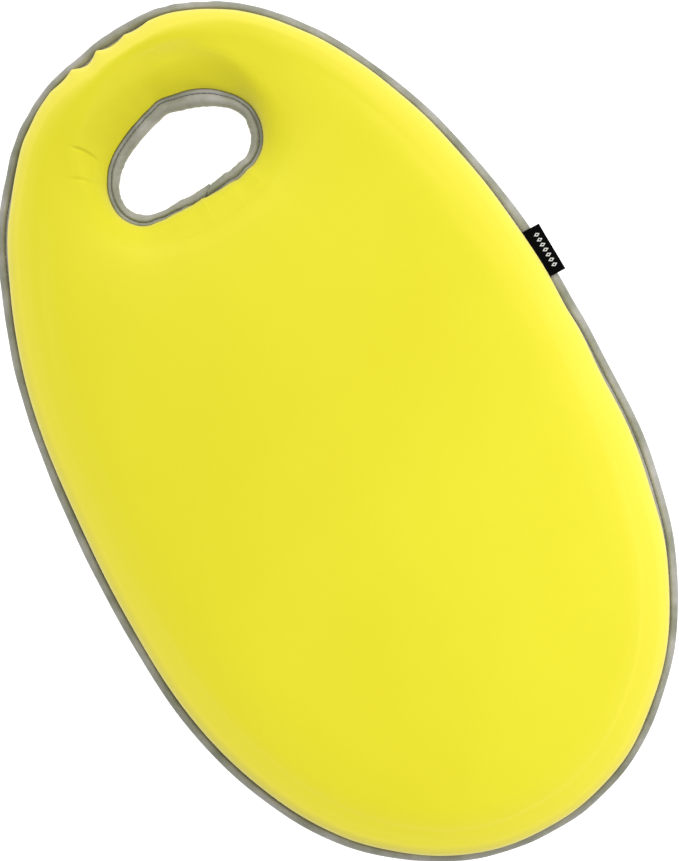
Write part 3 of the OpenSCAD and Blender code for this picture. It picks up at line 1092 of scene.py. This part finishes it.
def tape():
    """A ribbed, slightly stained grey tape."""
    material, tree, shader = new_material("grey_tape")
    where = object_points(tree)
    ribs = bands(tree, ribbon_lengths(tree), "X", 0.0005, Distortion=0.6, Detail=1.0)
    ribs.inputs["Detail Scale"].default_value = 40.0
    fibre = texture(tree, "Noise", where, Scale=2600.0, Detail=3.0, Roughness=0.6)
    stain = texture(tree, "Noise", where, Scale=55.0, Detail=3.0, Roughness=0.55)
    stains = [(0.30, (0.255, 0.262, 0.205)), (0.50, (0.345, 0.345, 0.295)), (0.70, (0.455, 0.442, 0.420))]
    tint = ramp(tree, stain, "Fac", stains)
    shade = ramp(tree, ribs, "Fac", [(0.0, (0.80, 0.80, 0.78)), (1.0, (1.06, 1.06, 1.04))])
    colour = multiplied(tree, 0.8, (tint, "Color"), (shade, "Color"))
    link(tree, colour, MIX_RESULT, shader, "Base Color")
    shader.inputs["Roughness"].default_value = 0.85
    shader.inputs["Specular IOR Level"].default_value = 0.2
    shader.inputs["Sheen Weight"].default_value = 0.25
    shader.inputs["Sheen Roughness"].default_value = 0.45
    bump(tree, shader, [(ribs, "Fac", 0.55, 0.00016), (fibre, "Fac", 0.3, 0.00010)])
    return material


def thread():
    """A dark grey twisted thread. Its own grey is darkened with painted shade to match the groove it lies in,
    and its twist is painted darker in its grooves.
    """
    material, tree, shader = new_material("grey_thread")
    twist = bands(tree, object_points(tree), "DIAGONAL", 0.0006)
    # Partly the thread's own grey, partly painted groove shade
    tint = ramp(tree, twist, "Fac", [(0.0, (0.085, 0.085, 0.070)), (1.0, (0.190, 0.190, 0.160))])
    link(tree, tint, "Color", shader, "Base Color")
    shader.inputs["Roughness"].default_value = 0.7
    bump(tree, shader, [(twist, "Fac", 0.5, 0.00008)])
    return material


def label_weave(around):
    """Black satin ribbon with a row of plain lozenges on the upper face."""
    material, tree, shader = new_material("black_label")
    where = ribbon_lengths(tree)
    split = node(tree, "ShaderNodeSeparateXYZ")
    link(tree, *where, split, "Vector")

    def maths(kind, *values):
        made = node(tree, "ShaderNodeMath", operation=kind)
        for i, value in enumerate(values):
            if isinstance(value, tuple):
                link(tree, *value, made, i)
            else:
                made.inputs[i].default_value = value
        return (made, 0)

    across, along = (split, "X"), (split, "Y")
    # The upper face's loose part runs from the fold, half way round the ribbon, back to the hinge
    fold = around / 2
    face_middle = fold + (flap_high.x - hinge_x) * 0.52
    off = maths("ABSOLUTE", maths("SUBTRACT", across, face_middle))
    pitch = 3.0 * MM
    middle_y = (flap_low.y + flap_high.y) / 2
    steps = maths("DIVIDE", maths("SUBTRACT", along, middle_y), pitch)
    part = maths("SUBTRACT", maths("FRACT", maths("ADD", steps, 0.5)), 0.5)
    run = maths("MULTIPLY", maths("ABSOLUTE", part), pitch)
    lozenge = maths("ADD", maths("DIVIDE", off, 1.75 * MM), maths("DIVIDE", run, 1.05 * MM))
    inside = maths("LESS_THAN", lozenge, 1.0)
    hollow = maths("GREATER_THAN", lozenge, 0.45)
    near_middle = maths("LESS_THAN", maths("ABSOLUTE", maths("SUBTRACT", along, middle_y)), 10.5 * MM)
    motif = maths("MULTIPLY", maths("MULTIPLY", inside, hollow), near_middle)
    weft = bands(tree, where, "Y", 0.00022)
    warp = bands(tree, where, "X", 0.0003)
    black = ramp(tree, weft, "Fac", [(0.0, (0.0004, 0.0004, 0.0005)), (1.0, (0.0030, 0.0030, 0.0034))])
    white = ramp(tree, weft, "Fac", [(0.0, (0.42, 0.42, 0.40)), (1.0, (0.80, 0.80, 0.78))])
    mix = node(tree, "ShaderNodeMix", data_type="RGBA")
    link(tree, *motif, mix, MIX_SHARE)
    link(tree, black, "Color", mix, MIX_ONE)
    link(tree, white, "Color", mix, MIX_OTHER)
    link(tree, mix, MIX_RESULT, shader, "Base Color")
    shader.inputs["Roughness"].default_value = 0.75
    shader.inputs["Specular IOR Level"].default_value = 0.03
    bumps = [(weft, "Fac", 0.3, 0.00005), (warp, "Fac", 0.3, 0.00005), (*motif, 0.6, 0.00012)]
    bump(tree, shader, bumps)
    return material


def foam(name, light, dark, cells, depth):
    """A foam with fine cells, darker in their middles: painted shade in each cell's hollow."""
    material, tree, shader = new_material(name)
    cell = texture(tree, "Voronoi", object_points(tree), Scale=cells, Randomness=1.0)
    # Painted shade: dark in the cells' hollow middles, light on their rims
    tint = ramp(tree, cell, "Distance", [(0.05, dark), (0.45, light)])
    link(tree, tint, "Color", shader, "Base Color")
    shader.inputs["Roughness"].default_value = 0.95
    shader.inputs["Specular IOR Level"].default_value = 0.15
    bump(tree, shader, [(cell, "Distance", 0.7, depth)])
    return material


# ---------------------------------------------------------------- assembly


def dress(piece, material, slot, *nodes):
    piece.data.materials.append(material)
    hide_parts(*nodes)
    return piece


def build():
    yellow = neoprene()
    grey = tape()
    sewing = thread()
    upper, lower = top_face(), bottom_face()
    top = dress(thick_panel("top_cover_panel", upper, 1), yellow, "yellow_neoprene", "top_cover")
    bottom = dress(thick_panel("bottom_cover_panel", lower, -1), yellow, "yellow_neoprene", "bottom_cover")
    foams_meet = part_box("eva_base")[1].z
    lip_rows, foot_rows = FLANGE_ROWS + LIP_STEPS, FLANGE_ROWS + 3
    soft = foam_block("memory_foam_block", upper, 1, foams_meet, lip_rows, FLANGE_ROWS + HANDLE_LIP_STEPS + 2)
    firm = foam_block("eva_base_block", lower, -1, foams_meet - 0.1 * MM, foot_rows, foot_rows)
    blue_foam = foam("memory_foam", (0.60, 0.74, 0.78), (0.40, 0.55, 0.60), 900.0, 0.0004)
    black_foam = foam("eva_foam", (0.070, 0.080, 0.090), (0.045, 0.050, 0.055), 1600.0, 0.0002)
    dress(soft, blue_foam, "memory_foam", "memory_foam")
    dress(firm, black_foam, "eva_foam", "eva_base")
    edge_tape = dress(make_binding("edge_binding_tape", EDGE), grey, "grey_tape", "edge_binding")
    hole_tape = dress(make_binding("handle_binding_tape", HOLE), grey, "grey_tape", "handle_binding")
    rows = [
        ("edge_needle_stitches", EDGE, 1, lift_over_tail, "edge_needle_thread"),
        ("edge_bobbin_stitches", EDGE, -1, no_lift, "edge_bobbin_thread"),
        ("handle_needle_stitches", HOLE, 1, no_lift, "handle_needle_thread"),
        ("handle_bobbin_stitches", HOLE, -1, no_lift, "handle_bobbin_thread"),
    ]
    stitches = []
    for name, side, up, lift, cad in rows:
        stitches.append(dress(make_stitches(name, side, up, lift), sewing, "grey_thread", cad))
    for piece in [top, bottom, soft, firm, edge_tape, hole_tape, *stitches]:
        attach(piece, "pad")
    ribbon, around = make_label()
    dress(ribbon, label_weave(around), "black_label", "side_label", "label_tail")
    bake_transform(ribbon)


# ---------------------------------------------------------------- camera, floor and light

CAMERA_TURN = math.radians(-28.34)
CAMERA_AIM = (4.05 * MM, -1.72 * MM)
CAMERA_DISTANCE = 1.1
FRAME_HEIGHT = 451.3 * MM
SENSOR = 36.0


def make_camera():
    """Looks straight down at the pad, turned as the pad lies in the picture."""
    data = bpy.data.cameras.new("camera")
    data.sensor_width = SENSOR
    data.lens = SENSOR * CAMERA_DISTANCE / FRAME_HEIGHT
    camera = bpy.data.objects.new("camera", data)
    camera.location = (*CAMERA_AIM, seam_z + CAMERA_DISTANCE)
    camera.rotation_euler = (0, 0, CAMERA_TURN)
    bpy.context.scene.collection.objects.link(camera)
    bpy.context.scene.camera = camera


def in_picture(right, up):
    """A direction given as right and up in the picture, as X and Y."""
    c, s = math.cos(CAMERA_TURN), math.sin(CAMERA_TURN)
    return c * right - s * up, s * right + c * up


def add_light(name, data, right, up, height):
    """Places a light in the studio, aimed at the pad."""
    light = bpy.data.objects.new(name, data)
    x, y = in_picture(right, up)
    light.location = (x, y, height)
    light.rotation_mode = "QUATERNION"
    light.rotation_quaternion = Vector((-x, -y, -height)).to_track_quat("-Z", "Y")
    bpy.context.scene.collection.objects.link(light)


def make_lights():
    """An even, broad key light from the top left of the picture and a closer softbox over its right side."""
    key = bpy.data.lights.new("key", "SUN")
    key.energy = 1.72
    key.angle = math.radians(50)
    add_light("key", key, right=-0.35, up=0.95, height=1.0)
    side = bpy.data.lights.new("side_softbox", "AREA")
    side.shape = "DISK"
    side.size = 0.7
    side.energy = 3.8
    add_light("side_softbox", side, right=0.5, up=0.0, height=0.7)


FLOOR_REACH = 12.0


def make_floor():
    """A white floor, which a camera under it sees through."""
    mesh = bpy.data.meshes.new("floor")
    corners = [(x * FLOOR_REACH, y * FLOOR_REACH, 0) for x, y in ((-1, -1), (1, -1), (1, 1), (-1, 1))]
    mesh.from_pydata(corners, [], [(0, 1, 2, 3)])
    floor = bpy.data.objects.new("floor", mesh)
    bpy.context.scene.collection.objects.link(floor)
    material, tree, shader = new_material("floor")
    shader.inputs["Base Color"].default_value = (0.35, 0.35, 0.35, 1)
    shader.inputs["Roughness"].default_value = 0.9
    shader.inputs["Specular IOR Level"].default_value = 0.0
    shader.inputs["Emission Color"].default_value = (1, 1, 1, 1)
    shader.inputs["Emission Strength"].default_value = 1.0
    side = node(tree, "ShaderNodeNewGeometry")
    clear = node(tree, "ShaderNodeBsdfTransparent")
    mix = node(tree, "ShaderNodeMixShader")
    link(tree, side, "Backfacing", mix, 0)
    link(tree, shader, "BSDF", mix, 1)
    link(tree, clear, "BSDF", mix, 2)
    link(tree, mix, "Shader", tree.nodes["Material Output"], "Surface")
    mesh.materials.append(material)


def make_world():
    world = bpy.data.worlds.new("studio")
    world.use_nodes = True
    background = world.node_tree.nodes["Background"]
    background.inputs["Color"].default_value = (1, 1, 1, 1)
    background.inputs["Strength"].default_value = 0.43
    scene = bpy.context.scene
    scene.world = world
    scene.view_settings.view_transform = "Standard"
    scene.view_settings.look = "None"


make_camera()
make_world()
make_floor()
make_lights()
build()
